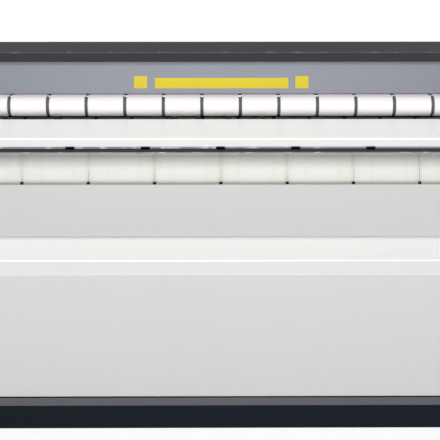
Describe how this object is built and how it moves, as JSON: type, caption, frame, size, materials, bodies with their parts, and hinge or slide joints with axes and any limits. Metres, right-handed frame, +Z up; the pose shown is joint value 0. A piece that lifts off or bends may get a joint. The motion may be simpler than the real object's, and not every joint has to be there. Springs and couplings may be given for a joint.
{
  "type": "flatwork ironer",
  "caption": "Wide floor-standing flatwork ironer with a heated cylinder, ironing bands, feed belts and shelf, finger guard, receiving tray, foot bar and end cabinets.",
  "frame": {"origin": "on the floor, under the middle of the machine's overall box", "axes": "+X to the right along the rollers as the operator sees them, +Y from the operator to the rear, +Z up"},
  "size_m": [2.35, 1.15, 1.1763],
  "materials": {
    "charcoal_paint": "dark grey powder coat, satin",
    "white_paint": "off-white powder coat, satin",
    "guard_grey": "blue-grey powder coat, satin",
    "plinth_paint": "near-black powder coat, matt",
    "foot_grey": "mid-grey paint, satin",
    "frame_grey": "light grey powder coat, satin",
    "belt_fabric": "white woven conveyor belt, matt",
    "band_fabric": "off-white woven heat-proof felt",
    "polished_steel": "ground and polished",
    "roller_metal": "turned, satin",
    "plain_steel": "plain sheet steel, dull",
    "dark_iron": "dark, oiled",
    "motor_paint": "blue enamel",
    "box_grey": "light grey, satin",
    "black_plastic": "black, matt",
    "green_plastic": "green, glossy",
    "red_plastic": "red, glossy",
    "yellow_plastic": "yellow, glossy"
  },
  "bodies": {
    "machine_frame": {"base_frame": "plinth_paint", "side_frame_left": "frame_grey", "end_cover_left": "charcoal_paint", "cylinder_bearing_left": "dark_iron", "stop_collar_left": "yellow_plastic", "side_frame_right": "frame_grey", "end_cover_right": "charcoal_paint", "cylinder_bearing_right": "dark_iron", "stop_collar_right": "yellow_plastic", "control_panel": "frame_grey", "hood": "charcoal_paint", "rear_cover": "charcoal_paint", "front_panel": "white_paint", "receiving_tray": "white_paint", "feed_shelf": "white_paint", "shelf_rail": "black_plastic", "feed_bed": "plain_steel", "feed_belt_01": "belt_fabric", "feed_belt_02": "belt_fabric", "feed_belt_03": "belt_fabric", "feed_belt_04": "belt_fabric", "feed_belt_05": "belt_fabric", "feed_belt_06": "belt_fabric", "feed_belt_07": "belt_fabric", "feed_belt_08": "belt_fabric", "feed_belt_09": "belt_fabric", "feed_belt_10": "belt_fabric", "feed_belt_11": "belt_fabric", "feed_belt_12": "belt_fabric", "feed_belt_13": "belt_fabric", "feed_motor": "motor_paint", "ironing_bands": "band_fabric", "scraper_bar": "plain_steel", "heater_bank": "plain_steel", "drive_chain": "dark_iron", "gear_motor": "motor_paint", "fan_housing": "plain_steel", "fan_motor": "motor_paint", "electrical_box": "box_grey", "cable_gland": "black_plastic"},
    "cylinder_body": {"cylinder": "polished_steel", "cylinder_sprocket": "dark_iron"},
    "motor_sprocket_body": {"motor_sprocket": "dark_iron"},
    "entry_roller_body": {"entry_roller": "roller_metal"},
    "exit_roller_body": {"exit_roller": "roller_metal"},
    "lower_front_roller_body": {"lower_front_roller": "roller_metal"},
    "lower_rear_roller_body": {"lower_rear_roller": "roller_metal"},
    "upper_rear_roller_body": {"upper_rear_roller": "roller_metal"},
    "rear_feed_roller_body": {"rear_feed_roller": "roller_metal"},
    "front_feed_roller_body": {"front_feed_roller": "roller_metal"},
    "fan_body": {"fan_impeller": "plain_steel"},
    "finger_guard_body": {"finger_guard": "guard_grey"},
    "foot_bar_body": {"foot_bar": "foot_grey"},
    "left_door_body": {"service_door_left": "charcoal_paint"},
    "right_door_body": {"service_door_right": "charcoal_paint"},
    "start_button_body": {"start_button": "green_plastic"},
    "stop_button_body": {"stop_button": "red_plastic"},
    "left_stop_body": {"emergency_stop_left": "red_plastic"},
    "right_stop_body": {"emergency_stop_right": "red_plastic"},
    "main_switch_body": {"main_switch": "red_plastic"}
  },
  "joints": [
    {"name": "cylinder_spin", "type": "hinge", "parent": "machine_frame", "child": "cylinder_body", "pos_m": [0, 0.2, 0.755], "axis": [-1, 0, 0], "continuous": true},
    {"name": "motor_sprocket_spin", "type": "hinge", "parent": "machine_frame", "child": "motor_sprocket_body", "pos_m": [0, 0.2, 0.3], "axis": [-1, 0, 0], "continuous": true},
    {"name": "entry_roller_spin", "type": "hinge", "parent": "machine_frame", "child": "entry_roller_body", "pos_m": [0, 0.07095, 1.03175], "axis": [-1, 0, 0], "continuous": true},
    {"name": "exit_roller_spin", "type": "hinge", "parent": "machine_frame", "child": "exit_roller_body", "pos_m": [0, -0.10791, 0.78519], "axis": [-1, 0, 0], "continuous": true},
    {"name": "lower_front_roller_spin", "type": "hinge", "parent": "machine_frame", "child": "lower_front_roller_body", "pos_m": [0, -0.12063, 0.47], "axis": [-1, 0, 0], "continuous": true},
    {"name": "lower_rear_roller_spin", "type": "hinge", "parent": "machine_frame", "child": "lower_rear_roller_body", "pos_m": [0, 0.47, 0.47], "axis": [-1, 0, 0], "continuous": true},
    {"name": "upper_rear_roller_spin", "type": "hinge", "parent": "machine_frame", "child": "upper_rear_roller_body", "pos_m": [0, 0.47, 0.985], "axis": [-1, 0, 0], "continuous": true},
    {"name": "rear_feed_roller_spin", "type": "hinge", "parent": "machine_frame", "child": "rear_feed_roller_body", "pos_m": [0, -0.02271, 1.00374], "axis": [-1, 0, 0], "continuous": true},
    {"name": "front_feed_roller_spin", "type": "hinge", "parent": "machine_frame", "child": "front_feed_roller_body", "pos_m": [0, -0.22601, 1.00374], "axis": [-1, 0, 0], "continuous": true},
    {"name": "fan_spin", "type": "hinge", "parent": "machine_frame", "child": "fan_body", "pos_m": [0, 0.37, 0.87], "axis": [-1, 0, 0], "continuous": true},
    {"name": "finger_guard_swing", "type": "hinge", "parent": "machine_frame", "child": "finger_guard_body", "pos_m": [0, -0.15801, 1.148], "axis": [1, 0, 0], "range_deg": [0, 6], "stiffness_Nm_per_rad": 10, "springref_deg": -11.46},
    {"name": "foot_bar_swing", "type": "hinge", "parent": "machine_frame", "child": "foot_bar_body", "pos_m": [0, -0.394, 0.185], "axis": [1, 0, 0], "range_deg": [0, 5], "stiffness_Nm_per_rad": 20, "springref_deg": -5.73},
    {"name": "left_door_hinge", "type": "hinge", "parent": "machine_frame", "child": "left_door_body", "pos_m": [-1.171, 0.5043, 0.52], "axis": [0, 0, -1], "range_deg": [0, 110]},
    {"name": "right_door_hinge", "type": "hinge", "parent": "machine_frame", "child": "right_door_body", "pos_m": [1.171, 0.5043, 0.52], "axis": [0, 0, 1], "range_deg": [0, 110]},
    {"name": "start_button_press", "type": "slide", "parent": "machine_frame", "child": "start_button_body", "axis": [0, 0.3823, -0.924], "range_m": [0, 0.003], "stiffness_N_per_m": 400, "springref_m": -0.002},
    {"name": "stop_button_press", "type": "slide", "parent": "machine_frame", "child": "stop_button_body", "axis": [0, 0.3823, -0.924], "range_m": [0, 0.003], "stiffness_N_per_m": 400, "springref_m": -0.002},
    {"name": "left_stop_press", "type": "slide", "parent": "machine_frame", "child": "left_stop_body", "axis": [0, 0.3823, -0.924], "range_m": [0, 0.005]},
    {"name": "right_stop_press", "type": "slide", "parent": "machine_frame", "child": "right_stop_body", "axis": [0, 0.3823, -0.924], "range_m": [0, 0.005]},
    {"name": "main_switch_turn", "type": "hinge", "parent": "machine_frame", "child": "main_switch_body", "pos_m": [1.027, 0.54, 0.62], "axis": [0, 1, 0], "range_deg": [0, 90]}
  ],
  "couplings": [
    {"joint": "motor_sprocket_spin", "follows": "cylinder_spin", "ratio": 3},
    {"joint": "entry_roller_spin", "follows": "cylinder_spin", "ratio": -5.5556},
    {"joint": "exit_roller_spin", "follows": "cylinder_spin", "ratio": -5},
    {"joint": "lower_front_roller_spin", "follows": "cylinder_spin", "ratio": -7.1429},
    {"joint": "lower_rear_roller_spin", "follows": "cylinder_spin", "ratio": -7.1429},
    {"joint": "upper_rear_roller_spin", "follows": "cylinder_spin", "ratio": -7.1429},
    {"joint": "front_feed_roller_spin", "follows": "rear_feed_roller_spin", "ratio": 1}
  ]
}
